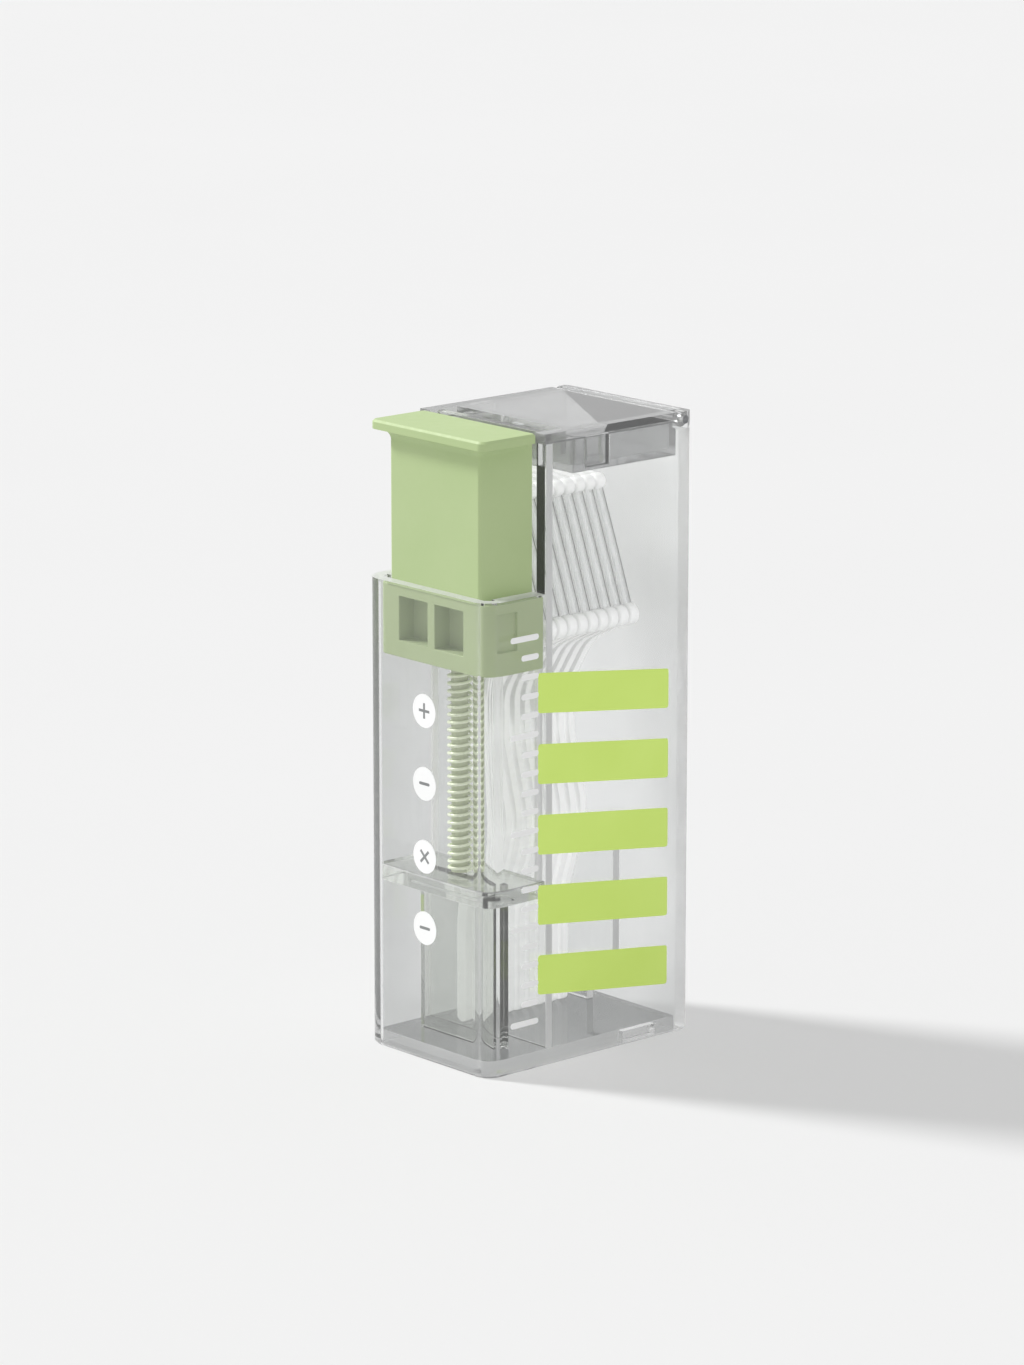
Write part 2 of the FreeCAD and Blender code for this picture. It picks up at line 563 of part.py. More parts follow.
latch_inner = f"({ear_room} - {L.latch_thickness})"
latch_y = (f"{latch_middle} - {L.latch_width} / 2", f"{latch_middle} + {L.latch_width} / 2")
nose_half = f"({ear_room} + {L.latch_nose})"
for side, sheet_span, nose_span in (
        ("left", (f"-{ear_room}", f"-{latch_inner}"), (f"-{nose_half}", f"-{ear_room}")),
        ("right", (latch_inner, ear_room), (ear_room, nose_half))):
    add_box(lid, "latch_" + side, sheet_span, latch_y, (latch_foot, wall_top))
    add_box(lid, "latch_nose_" + side, nose_span, latch_y,
            (latch_foot, f"{latch_foot} + {L.latch_nose_height}"))
pin_room = f"({L.hinge_pin_radius} + {L.hinge_clearance})"
cut_round(lid, "barrel_bore", "X", (hinge_y, hinge_z), pin_room,
          (f"-{half_width}", half_width))

# The tray under the lid, open at the top, that keeps the rear picks down. The lid's latches stand in
# notches of its sides, and its rear wall ends under the lid's barrel.
liner = new_body("lid_liner")
liner_half = f"({inner_half} - {L.run_gap})"
liner_rear = f"({inner_rear} - {L.liner_rear_gap})"
liner_front = f"({lid_front} + {L.slot_lip_thickness} + {L.run_gap})"
add_box(liner, "tray", (f"-{liner_half}", liner_half), (liner_front, liner_rear), (liner_foot, wall_top))
cut_box(liner, "tray_hollow", (f"-{liner_half} + {L.liner_wall}", f"{liner_half} - {L.liner_wall}"),
        (f"{liner_front} + {L.liner_wall}", f"{liner_rear} - {L.liner_wall}"),
        (f"{liner_foot} + {L.liner_wall}", wall_top))
cut_box(liner, "barrel_relief", (f"-{liner_half} - {overrun}", f"{liner_half} + {overrun}"),
        (f"{hinge_y} - {L.hinge_radius} - {L.fit_gap}", f"{liner_rear} + {overrun}"),
        (f"{hinge_z} - {L.hinge_radius} - {L.fit_gap}", wall_top))
notch_inner = f"({latch_inner} - {L.fit_gap})"
notch_half = f"({L.latch_width} / 2 + {L.fit_gap})"
for side, low, high in (("left", f"-{liner_half} - {overrun}", f"-{notch_inner}"),
                        ("right", notch_inner, f"{liner_half} + {overrun}")):
    cut_box(liner, "latch_notch_" + side, (low, high),
            (f"{latch_middle} - {notch_half}", f"{latch_middle} + {notch_half}"),
            (f"{latch_foot} - {L.fit_gap}", wall_top))

# The two pins of the lid, pressed into the ears.
for side, low, high in (("left", f"-{half_width}", f"-{half_width} + {L.hinge_pin_length}"),
                        ("right", f"{half_width} - {L.hinge_pin_length}", half_width)):
    hinge_pin = new_body("hinge_pin_" + side)
    add_round(hinge_pin, "pin_" + side, "X", (hinge_y, hinge_z), L.hinge_pin_radius, (low, high))

# The follower: a clear plate behind the last pick, on a foot that slides on the floor.
follower = new_body("pick_follower")
follower_left = f"({L.follower_side_gap} - {inner_half})"
follower_y = (f"({last_pick_rear} + {L.follower_gap})",
              f"({last_pick_rear} + {L.follower_gap} + {L.follower_thickness})")
plate_foot = f"({floor} + {L.follower_rise})"
plate_span = (follower_left, f"{follower_left} + {L.follower_width}")
add_box(follower, "plate", plate_span, follower_y, (plate_foot, f"{liner_foot} - {L.follower_headroom}"))


def plate_corner(edge):
    return edge.BoundBox.YLength > size(f"{L.follower_thickness} / 2")


dress_edges(follower, "PartDesign::Fillet", "plate_corners", L.follower_radius, plate_corner)
foot_span = (f"{pawl_x} - {L.follower_foot} / 2", f"{pawl_x} + {L.follower_foot} / 2")
add_box(follower, "foot", foot_span, follower_y, (f"{floor} + {L.fit_gap}", plate_foot))


# The return spring: one wire on a helix, each half turn drawn as two arcs.
def biarc(start, start_way, end, end_way):
    """Two arcs that leave one point and reach another along given directions."""
    chord = end.sub(start)
    ways = start_way.add(end_way)
    a = ways.dot(ways) - 4
    b = -2 * chord.dot(ways)
    c = chord.dot(chord)
    reach = (-b - math.sqrt(b * b - 4 * a * c)) / (2 * a)
    first_corner = start.add(start_way * reach)
    second_corner = end.sub(end_way * reach)
    joint = (first_corner.add(second_corner)) * 0.5
    return [corner_arc(start, first_corner, joint), corner_arc(joint, second_corner, end)]


def corner_arc(start, corner, end):
    """The arc that touches the two legs of a corner at its ends."""
    chord_middle = (start.add(end)) * 0.5
    half_chord = start.distanceToPoint(end) / 2
    rise = corner.distanceToPoint(chord_middle)
    sagitta = half_chord * math.tan(math.atan2(rise, half_chord) / 2)
    top = chord_middle.add((corner.sub(chord_middle)) * (sagitta / rise))
    return Part.Arc(start, top, end).toShape()


def spring_shape():
    wire_radius = size(f"{L.wire_diameter} / 2")
    radius = size(f"{L.spring_diameter} / 2") - wire_radius
    foot = size(f"{shelf_top} + {L.fit_gap}") + wire_radius
    top = size(f"{carriage_foot} - {L.fit_gap}") - wire_radius
    turns = int(size(L.spring_turns))
    pitch = (top - foot) / turns
    axis_y = size(spring_y)

    def place(turn):
        angle = 2 * math.pi * turn
        out = FreeCAD.Vector(radius * math.cos(angle), radius * math.sin(angle), 0)
        return out.add(FreeCAD.Vector(0, axis_y, foot + pitch * turn))

    def way(turn):
        angle = 2 * math.pi * turn
        rise = pitch / (2 * math.pi)
        found = FreeCAD.Vector(-radius * math.sin(angle), radius * math.cos(angle), rise)
        return found.normalize()

    tail = size(L.wire_diameter)
    edges = [Part.LineSegment(place(0).sub(way(0) * tail), place(0)).toShape()]
    for count in range(2 * turns):
        edges += biarc(place(count / 2), way(count / 2), place((count + 1) / 2), way((count + 1) / 2))
    edges.append(Part.LineSegment(place(turns), place(turns).add(way(turns) * tail)).toShape())
    path = Part.Wire(edges)
    start = place(0).sub(way(0) * tail)
    section = Part.Wire([Part.Circle(start, way(0), wire_radius).toShape()])
    solid = path.makePipeShell([section], True, False)
    a_turn = 48
    points = path.discretize(Number=a_turn * turns)
    apart = [points[index].distanceToPoint(points[index + a_turn]) for index in range(len(points) - a_turn)]
    print("return_spring: least gap between its turns %.3f mm" % (min(apart) - 2 * wire_radius))
    return solid


spring = doc.addObject("Part::Feature", "return_spring")
spring.Shape = spring_shape()

# A floss pick: the frame's bars are bands along tangent lines and arcs, in shares of the pick's
# width and length from the foot of the handle, each with the turn's radius as a share of the length.
HANDLE_SHARES = ((0, 0.0126, 0), (0, 0.200, 0.16), (0.209, 0.367, 0.12), (0.059, 0.510, 0.12),
                 (0.059, 0.605, 0.09), (0.289, 0.695, 0.10), (0.710, 0.747, 0))
BOW_SHARES = ((0.059, 0.560, 0), (-0.169, 0.665, 0.07), (-0.169, 0.9874, 0.05), (0.3715, 0.9730, 0))


def pick_points(shares):
    """Places along a bar of the front pick and the radii of the turns there."""
    wide = size(pick_width)
    long = size(pick_length)
    foot = size(pick_foot)
    middle = size(pawl_x)
    places = [(middle + across * wide, foot + up * long) for across, up, turn in shares]
    return places, [turn * long for across, up, turn in shares]


def vector(place, depth=0):
    """A place of the pick's outline as a point, at a depth along Y."""
    return FreeCAD.Vector(place[0], depth, place[1])


def band_side(places, radii, lines, offset, depth):
    """The edges along one side of a bar, with the points where that side starts and ends."""
    facing = FreeCAD.Vector(0, -1, 0)
    first = vector(places[0], depth).add(facing.cross(lines[0]) * offset)
    edges = []
    last = first
    for count in range(1, len(places) - 1):
        before, after = lines[count - 1], lines[count]
        hand = 1 if before.cross(after).dot(facing) > 0 else -1
        corner = vector(places[count], depth)
        leg = radii[count] * math.tan(before.getAngle(after) / 2)
        enter = corner.sub(before * leg)
        leave = corner.add(after * leg)
        centre = enter.add(facing.cross(before) * (hand * radii[count]))
        reach = radii[count] - offset * hand
        bend = [centre.add(point.sub(centre).normalize() * reach) for point in (enter, corner, leave)]
        edges.append(Part.LineSegment(last, bend[0]).toShape())
        edges.append(Part.Arc(*bend).toShape())
        last = bend[2]
    final = vector(places[-1], depth).add(facing.cross(lines[-1]) * offset)
    edges.append(Part.LineSegment(last, final).toShape())
    return edges, first, final


def band_face(shares, width, depth):
    """The flat face of a bar of constant width along a path with rounded turns."""
    places, radii = pick_points(shares)
    lines = [vector(end).sub(vector(start)).normalize() for start, end in zip(places, places[1:])]
    left, left_foot, left_head = band_side(places, radii, lines, width / 2, depth)
    right, right_foot, right_head = band_side(places, radii, lines, -width / 2, depth)
    foot = Part.Arc(left_foot, vector(places[0], depth).sub(lines[0] * (width / 2)), right_foot).toShape()
    head = Part.LineSegment(left_head, right_head).toShape()
    return Part.Face(Part.Wire(Part.__sortEdges__(left + [head] + right + [foot])))


def pick_frame_shape():
    """The handle, the bow and the two tips, in the plane Y = 0, with half the thickness each way."""
    thick = size(pick_thickness)
    thin = size(f"{pick_thickness} - 2 * {L.pick_relief}")
    bars = [band_face(shares, size(L.pick_bar), -thin / 2) for shares in (HANDLE_SHARES, BOW_SHARES)]
    solids = [bar.extrude(FreeCAD.Vector(0, thin, 0)) for bar in bars]
    for shares, radius in ((HANDLE_SHARES, L.knob_radius), (BOW_SHARES, L.small_knob_radius)):
        places, radii = pick_points(shares)
        tip = vector(places[-1], -thick / 2)
        solids.append(Part.makeCylinder(size(radius), thick, tip, FreeCAD.Vector(0, 1, 0)))
    return solids[0].multiFuse(solids[1:]).removeSplitter().Solids[0]


def floss_shape():
    """The tape of floss, taut from one tip to the other."""
    low = vector(pick_points(HANDLE_SHARES)[0][-1])
    high = vector(pick_points(BOW_SHARES)[0][-1])
    run = low.sub(high).normalize()
    wide = size(f"{pick_thickness} - 2 * {L.floss_inset}")
    thick = size(L.floss_thickness)
    start = high.add(run * size(f"{L.small_knob_radius} + {L.floss_gap}"))
    end = low.sub(run * size(f"{L.knob_radius} + {L.floss_gap}"))
    across = run.cross(FreeCAD.Vector(0, 1, 0)) * (thick / 2)
    side = FreeCAD.Vector(0, wide / 2, 0)
    corners = [start.sub(across).sub(side), start.add(across).sub(side),
               start.add(across).add(side), start.sub(across).add(side)]
    section = Part.Face(Part.makePolygon(corners + corners[:1]))
    return section.extrude(end.sub(start))


frame_shape = pick_frame_shape()
tape_shape = floss_shape()
picks = []
for count in range(int(size(L.pick_count))):
    place_y = size(f"{first_pick_y} + {count} * {pick_pitch}")
    for name, shape in (("floss_pick_%02d", frame_shape), ("floss_tape_%02d", tape_shape)):
        item = doc.addObject("Part::Feature", name % (count + 1))
        item.Shape = shape
        item.Placement = FreeCAD.Placement(FreeCAD.Vector(0, place_y, 0), FreeCAD.Rotation())
        picks.append(item)

doc.recompute()
bodies = [item for item in doc.Objects if item.isDerivedFrom("PartDesign::Body")]
pieces = bodies + [spring] + picks
for item in doc.Objects:
    if "Invalid" in item.State or "Error" in item.State:
        raise RuntimeError(item.Name + " did not build")
for piece in pieces:
    shape = piece.Shape
    if shape.isNull() or not shape.isValid() or len(shape.Solids) != 1:
        raise RuntimeError(piece.Label + " isn't one valid solid")
for piece in pieces:
    piece.Shape.exportStep("parts/%s.step" % piece.Label)
    print("%-18s %9.2f mm3" % (piece.Label, piece.Shape.Volume))
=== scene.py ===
import json
import math

import bmesh
import bpy
from mathutils import Matrix, Vector

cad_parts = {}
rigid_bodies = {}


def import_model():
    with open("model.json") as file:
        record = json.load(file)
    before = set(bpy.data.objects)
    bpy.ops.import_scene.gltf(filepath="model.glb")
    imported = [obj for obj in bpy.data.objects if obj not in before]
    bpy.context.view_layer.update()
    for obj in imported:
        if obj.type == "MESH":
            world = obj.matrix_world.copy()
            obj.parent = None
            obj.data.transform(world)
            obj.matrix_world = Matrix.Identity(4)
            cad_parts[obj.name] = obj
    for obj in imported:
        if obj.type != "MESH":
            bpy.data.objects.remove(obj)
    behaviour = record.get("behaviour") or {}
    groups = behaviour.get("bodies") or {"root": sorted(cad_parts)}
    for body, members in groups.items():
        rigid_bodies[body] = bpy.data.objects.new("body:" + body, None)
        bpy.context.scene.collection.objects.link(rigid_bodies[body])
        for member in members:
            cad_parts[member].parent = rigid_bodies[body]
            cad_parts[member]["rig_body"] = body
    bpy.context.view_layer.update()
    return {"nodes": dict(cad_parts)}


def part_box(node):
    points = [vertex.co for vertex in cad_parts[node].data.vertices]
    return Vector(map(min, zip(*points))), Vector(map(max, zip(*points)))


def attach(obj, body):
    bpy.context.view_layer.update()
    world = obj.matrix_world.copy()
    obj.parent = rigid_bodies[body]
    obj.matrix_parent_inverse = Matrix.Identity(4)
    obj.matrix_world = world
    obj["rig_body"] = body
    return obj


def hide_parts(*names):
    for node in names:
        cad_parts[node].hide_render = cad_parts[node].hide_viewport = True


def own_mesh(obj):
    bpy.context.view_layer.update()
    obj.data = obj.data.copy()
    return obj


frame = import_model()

MM = 0.001
scene = bpy.context.scene
scene.view_settings.view_transform = "Standard"


def towards(azimuth, elevation):
    """The way from the object out to a place around it. Azimuth is counted from the front to the right."""
    a, e = math.radians(azimuth), math.radians(elevation)
    return Vector((math.sin(a) * math.cos(e), -math.cos(a) * math.cos(e), math.sin(e)))


# Camera at the photograph's viewing angle. Lengths are in millimetres.
AZIMUTH = 48.36
ELEVATION = 13.41
DISTANCE = 818.7
LEFTWARDS = 2.185
UPWARDS = 50.19
FOCAL_LENGTH = 151.4
SENSOR_HEIGHT = 36
NEAREST, FARTHEST = 0.01, 50

back = towards(AZIMUTH, ELEVATION)
right = Vector((math.cos(math.radians(AZIMUTH)), math.sin(math.radians(AZIMUTH)), 0))
up = back.cross(right)
place = back * (DISTANCE * MM) - right * LEFTWARDS * MM + up * UPWARDS * MM
lens = bpy.data.cameras.new("camera")
lens.sensor_fit = "VERTICAL"
lens.sensor_height = SENSOR_HEIGHT
lens.lens = FOCAL_LENGTH
lens.clip_start = NEAREST
lens.clip_end = FARTHEST
camera = bpy.data.objects.new("camera", lens)
camera.matrix_world = Matrix((
    (right.x, up.x, back.x, place.x),
    (right.y, up.y, back.y, place.y),
    (right.z, up.z, back.z, place.z),
    (0, 0, 0, 1),
))
scene.collection.objects.link(camera)
scene.camera = camera


# Materials.
NOISE_SPAN = (0.3, 0.7)
ACRYLIC_IOR, MOULDED_IOR, FLOSS_IOR = 1.49, 1.5, 1.35
POLISHED, SOFT_GLOSS, SATIN, MATTE = (0.01, 0.05), (0.04, 0.1), (0.05, 0.12), (0.3, 0.4)
ALONG_PIN = (0.05, 6, 6)
ALONG_FLOSS = (1, 4, 0.3)


class Surface:
    """A material, its Principled shader and short calls for the nodes that feed it."""

    def __init__(self, name, **values):
        self.material = bpy.data.materials.new(name)
        self.material.use_nodes = True
        self.tree = self.material.node_tree
        self.shader = self.tree.nodes["Principled BSDF"]
        for socket, value in values.items():
            self.shader.inputs[socket.replace("_", " ")].default_value = value
        self.place = self.node("ShaderNodeTexCoord").outputs["Object"]

    def node(self, kind, **values):
        made = self.tree.nodes.new(kind)
        for socket, value in values.items():
            made.inputs[socket.replace("_", " ")].default_value = value
        return made

    def link(self, source, target):
        self.tree.links.new(source, target)

    def noise(self, scale, detail, stretch=None):
        texture = self.node("ShaderNodeTexNoise", Scale=scale, Detail=detail)
        source = self.place
        if stretch:
            mapping = self.node("ShaderNodeMapping", Scale=stretch)
            self.link(source, mapping.inputs["Vector"])
            source = mapping.outputs["Vector"]
        self.link(source, texture.inputs["Vector"])
        return texture.outputs["Fac"]

    def colour(self, source, low, high):
        """The base colour runs from low to high with the source."""
        made = self.node("ShaderNodeValToRGB")
        for stop, position, shade in zip(made.color_ramp.elements, NOISE_SPAN, (low, high)):
            stop.position = position
            stop.color = (*shade, 1)
        self.link(source, made.inputs["Fac"])
        self.link(made.outputs["Color"], self.shader.inputs["Base Color"])

    def rough(self, source, low, high):
        """The roughness runs from low to high with the source."""
        made = self.node("ShaderNodeMapRange", From_Min=NOISE_SPAN[0], From_Max=NOISE_SPAN[1],
                         To_Min=low, To_Max=high)
        self.link(source, made.inputs["Value"])
        self.link(made.outputs["Result"], self.shader.inputs["Roughness"])

    def bump(self, source, strength, distance):
        made = self.node("ShaderNodeBump", Strength=strength, Distance=distance * MM)
        self.link(source, made.inputs["Height"])
        self.link(made.outputs["Normal"], self.shader.inputs["Normal"])


def clear_plastic(name, low, high, haze, roughness=POLISHED):
    made = Surface(name, Transmission_Weight=1 - haze, IOR=ACRYLIC_IOR)
    made.colour(made.noise(90, 2), low, high)
    made.rough(made.noise(220, 4), *roughness)
    made.bump(made.noise(60, 1), 0.04, 0.2)
    return made.material


def moulded_plastic(name, low, high, roughness, grain, milky=0):
    made = Surface(name, IOR=MOULDED_IOR, Subsurface_Weight=milky, Subsurface_Radius=(1, 1, 1),
                   Subsurface_Scale=2 * MM)
    made.colour(made.noise(70, 4), low, high)
    made.rough(made.noise(600, 3), *roughness)
    made.bump(made.noise(3200, 3), grain, 0.04)
    return made.material


clear = clear_plastic("clear_plastic", (0.85, 0.855, 0.855), (0.88, 0.885, 0.885), 0.012)
rear_clear = clear_plastic("clear_rear_plastic", (0.91, 0.915, 0.915), (0.95, 0.955, 0.955), 0.32)
# Bevels of clear pieces: a paler, hazier plastic that paints a highlight line along each edge.
painted_highlight_edge_clear = clear_plastic("clear_edge_painted_highlight", (0.93, 0.935, 0.93), (0.96, 0.96, 0.955), 0.15, SATIN)
# Lid and its liner: a grey tint that paints in the shade of darker surroundings seen through the lid.
painted_shade_lid_clear = clear_plastic("clear_lid_painted_shade", (0.61, 0.615, 0.615), (0.67, 0.675, 0.675), 0.13, SOFT_GLOSS)
# Bevels of the lid and its liner: a dark plastic that paints a shade line along each edge.
painted_shade_line_clear = clear_plastic("clear_line_painted_shade", (0.36, 0.365, 0.365), (0.44, 0.445, 0.445), 0.2, SATIN)
# Left wall: hazier so that light does not run on inside it, and tinted darker as painted shade.
painted_shade_left_clear = clear_plastic("clear_left_painted_shade", (0.66, 0.67, 0.67), (0.72, 0.73, 0.73), 0.2)
frosted = clear_plastic("clear_frosted_plastic", (0.82, 0.825, 0.82), (0.86, 0.865, 0.86), 0.8, MATTE)
rim_clear = clear_plastic("clear_rim_plastic", (0.86, 0.875, 0.86), (0.90, 0.915, 0.90), 0.6, MATTE)
side_clear = clear_plastic("clear_base_side_plastic", (0.62, 0.63, 0.63), (0.69, 0.70, 0.70), 0.08)
inner_clear = clear_plastic("clear_inner_plastic", (0.90, 0.91, 0.905), (0.94, 0.945, 0.94), 0.02)
shelf_clear = clear_plastic("clear_shelf_plastic", (0.70, 0.725, 0.68), (0.77, 0.79, 0.75), 0.02)
# Base plate: a dark tint that paints in the shade of the floor under the base.
painted_shade_base_clear = clear_plastic("clear_base_painted_shade", (0.24, 0.25, 0.25), (0.31, 0.32, 0.32), 0.05)

green = moulded_plastic("green_matte_plastic", (0.427, 0.543, 0.264), (0.457, 0.568, 0.289),
                        (0.5, 0.62), 0.2)
carriage_green = moulded_plastic("green_carriage_plastic", (0.40, 0.49, 0.25), (0.43, 0.52, 0.28),
                                 (0.5, 0.62), 0.2)
# Carriage recesses: a darker green that paints in the shade inside the recesses.
painted_shade_recess_green = moulded_plastic("green_recess_painted_shade", (0.37, 0.445, 0.245), (0.41, 0.485, 0.275),
                               (0.55, 0.65), 0.2)
post_green = moulded_plastic("green_post_plastic", (0.49, 0.54, 0.35), (0.54, 0.59, 0.40),
                             (0.4, 0.5), 0.2)
white = moulded_plastic("white_pick_plastic", (0.93, 0.935, 0.93), (0.965, 0.965, 0.96),
                        (0.28, 0.4), 0.1, milky=0.2)
white_ink = moulded_plastic("white_ink", (0.90, 0.91, 0.90), (0.95, 0.95, 0.95), (0.4, 0.5), 0.1)
lime_ink = moulded_plastic("lime_ink", (0.67, 0.89, 0.17), (0.71, 0.93, 0.20), (0.35, 0.45), 0.1)
dark_ink = moulded_plastic("grey_ink", (0.20, 0.21, 0.21), (0.26, 0.27, 0.27), (0.4, 0.5), 0.1)

wire = Surface("spring_paint", Metallic=0.1)
wire.colour(wire.noise(900, 3), (0.80, 0.87, 0.63), (0.88, 0.93, 0.74))
wire.rough(wire.noise(1500, 2), 0.25, 0.36)
wire.bump(wire.noise(2500, 2), 0.1, 0.02)

steel = Surface("pin_steel", Metallic=1.0)
steel.colour(steel.noise(400, 3, (0.1, 4, 4)), (0.16, 0.165, 0.17), (0.26, 0.265, 0.27))
steel.rough(steel.noise(900, 3, ALONG_PIN), 0.22, 0.4)
steel.bump(steel.noise(2500, 2, ALONG_PIN), 0.15, 0.02)

floss = Surface("floss_film", Transmission_Weight=0.4, IOR=FLOSS_IOR)
floss.colour(floss.noise(1400, 3, ALONG_FLOSS), (0.80, 0.815, 0.81), (0.93, 0.935, 0.93))
floss.rough(floss.noise(1800, 2), 0.3, 0.45)
floss.bump(floss.noise(4000, 2, ALONG_FLOSS), 0.2, 0.02)

# Rolled rims of the floss: a dark film that paints the shade lines along the ribbon's edges.
rim = Surface("floss_rim_painted_shade", Transmission_Weight=0.2, IOR=FLOSS_IOR)
rim.colour(rim.noise(1400, 3), (0.22, 0.225, 0.22), (0.32, 0.325, 0.32))
rim.rough(rim.noise(1800, 2), 0.3, 0.45)

paper = Surface("floor_paper", Roughness=0.9)
paper.colour(paper.noise(6, 3), (0.842, 0.842, 0.842), (0.852, 0.852, 0.852))
paper.bump(paper.noise(500, 2), 0.02, 0.1)


# Pieces. Lengths are in millimetres and angles in degrees.
MERGE_DISTANCE = 0.002
FLAT_ANGLE = 1.5
BEVEL_ANGLE = 40
SMOOTH_ANGLE = 38

DOME_FACING = 0.99
DOME_RIM = 0.56
DOME_RINGS = 6
TIP_REACH = 0.02

EAR_ROUND = 0.8
EAR_FOOT = 87


def finished(piece, body, material, nodes=()):
    if not piece.data.materials:
        piece.data.materials.append(material)
    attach(piece, body)
    if nodes:
        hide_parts(*nodes)
    return piece


def linked(name, data):
    made = bpy.data.objects.new(name, data)
    scene.collection.objects.link(made)
    return made


def smoothed(mesh, angle=SMOOTH_ANGLE):
    mesh.polygons.foreach_set("use_smooth", [True] * len(mesh.polygons))
    mesh.set_sharp_from_angle(angle=math.radians(angle))


def domed(mesh):
    """The flat round faces of a pick's two tips swell into domes."""
    rim = DOME_RIM * MM
    middle = (min(v.co.y for v in mesh.verts) + max(v.co.y for v in mesh.verts)) / 2
    half = max(v.co.y for v in mesh.verts) - middle
    flats = []
    for face in mesh.faces:
        out = abs(face.calc_center_median().y - middle)
        if abs(face.normal.y) > DOME_FACING and out > half - TIP_REACH * MM:
            flats.append(face)
    for flat in flats:
        side = 1 if flat.normal.y > 0 else -1
        outer = list(flat.verts)
        count = len(outer)
        centre = sum((v.co for v in outer), Vector()) / count
        mesh.faces.remove(flat)
        for vert in outer:
            vert.co.y = middle + side * rim
        last = outer
        for ring in range(1, DOME_RINGS):
            share = math.cos(math.pi / 2 * ring / DOME_RINGS)
            rise = rim + (half - rim) * math.sin(math.pi / 2 * ring / DOME_RINGS)
            fresh = []
            for vert in outer:
                spot = centre.lerp(vert.co, share)
                fresh.append(mesh.verts.new((spot.x, middle + side * rise, spot.z)))
            for index in range(count):
                after = (index + 1) % count
                mesh.faces.new((last[index], last[after], fresh[after], fresh[index]))
            last = fresh
        top = mesh.verts.new((centre.x, middle + side * half, centre.z))
        for index in range(count):
            mesh.faces.new((last[index], last[(index + 1) % count], top))
    bmesh.ops.recalc_face_normals(mesh, faces=mesh.faces)


def ears_rounded(mesh):
    """The ears of the hinge follow the round of the case's rear corners."""
    radius = EAR_ROUND * MM
    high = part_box("case_body")[1]
    for vert in mesh.verts:
        side = 1 if vert.co.x > 0 else -1
        middle = Vector((side * (high[0] - radius), high[1] - radius))
        out = Vector(vert.co.xy) - middle
        if vert.co.z > EAR_FOOT * MM and out.x * side > 0 and out.y > 0 and out.length > radius:
            vert.co.xy = middle + out.normalized() * radius


def dressed(node, material, width, segments=3, edge_material=None, form=None):
    """The node's own form, changed by form, with its edges rounded over by width."""
    source = frame["nodes"][node]
    mesh = source.data.copy()
    mesh.materials.clear()
    mesh.materials.append(material)
    soft = bmesh.new()
    soft.from_mesh(mesh)
    bmesh.ops.remove_doubles(soft, verts=soft.verts, dist=MERGE_DISTANCE * MM)
    bmesh.ops.dissolve_limit(soft, angle_limit=math.radians(FLAT_ANGLE), verts=soft.verts, edges=soft.edges)
    if form:
        form(soft)
    soft.to_mesh(mesh)
    soft.free()
    piece = linked(node + "_dressed", mesh)
    edge = piece.modifiers.new("edges", "BEVEL")
    edge.width = width * MM
    edge.segments = segments
    edge.limit_method = "ANGLE"
    edge.angle_limit = math.radians(BEVEL_ANGLE)
    edge.use_clamp_overlap = True
    # Bevel faces take the edge material, which paints a highlight line, or on the lid and its liner a shade
    # line.
    if edge_material:
        mesh.materials.append(edge_material)
        edge.material = 1
    bpy.context.view_layer.update()
    solid = piece.evaluated_get(bpy.context.evaluated_depsgraph_get())
    piece.data = bpy.data.meshes.new_from_object(solid)
    piece.modifiers.clear()
    smoothed(piece.data)
    evened = piece.modifiers.new("normals", "WEIGHTED_NORMAL")
    evened.keep_sharp = True
    return finished(piece, source["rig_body"], material, [node])


# Columns: node, material, bevel width, bevel material, form. The lid's and the base's grey tints are
# painted shade.
CLEAR_NODES = (
    ("case_body", clear, 0.22, painted_highlight_edge_clear, ears_rounded),
    ("base_cover", painted_shade_base_clear, 0.15, painted_highlight_edge_clear, None),
    ("top_lid", painted_shade_lid_clear, 0.18, painted_shade_line_clear, None),
    ("lid_liner", painted_shade_lid_clear, 0.15, painted_shade_line_clear, None),
    ("inner_partition", inner_clear, 0.12, painted_highlight_edge_clear, None),
    ("spring_shelf", shelf_clear, 0.15, painted_highlight_edge_clear, None),
    ("pick_follower", inner_clear, 0.2, painted_highlight_edge_clear, None),
)
GREEN_NODES = (
    ("press_button", green, 0.1),
    ("slider_carriage", carriage_green, 0.12),
    ("lift_pawl", carriage_green, 0.1),
    ("guide_post", post_green, 0.1),
)
PICKS = [f"{number:02d}" for number in range(1, 10)]

for node, material, width, edge_material, form in CLEAR_NODES:
    piece = dressed(node, material, width, edge_material=edge_material, form=form)
    piece.visible_diffuse = False
for node, material, width in GREEN_NODES:
    dressed(node, material, width)
for number in PICKS:
    dressed("floss_pick_" + number, white, 0.45, 5, form=domed)
for node in ("hinge_pin_left", "hinge_pin_right"):
    dressed(node, steel.material, 0.1)


# Faces in a material of their own. Light would run on inside some faces of a clear wall, so these are
# hazier; the left wall is also tinted darker as painted shade. The recesses of the carriage are a darker
# green, a painted shade.
REAR_WALL = 17.2
LEFT_WALL = -12.9
NOTCH_RIM = (60, 80)
LOW_PART = 60
FACING = 0.7
SQUARELY_FACING = 0.9
RECESS_DEPTHS = (0.3, 3.2)
RECESS_HEIGHTS = (2.0, 9.2)
RECESS_REACH = 7.1
carriage_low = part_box("slider_carriage")[0]


def rear_wall(face):
    return face.center.y > REAR_WALL * MM and abs(face.normal.y) > FACING


def notch_rim(face):
    return face.normal.z > FACING and NOTCH_RIM[0] * MM < face.center.z < NOTCH_RIM[1] * MM


# Faces of the left wall, which take the hazier plastic with its painted shade.
def left_wall(face):
    return face.center.x < LEFT_WALL * MM and face.normal.x < -SQUARELY_FACING


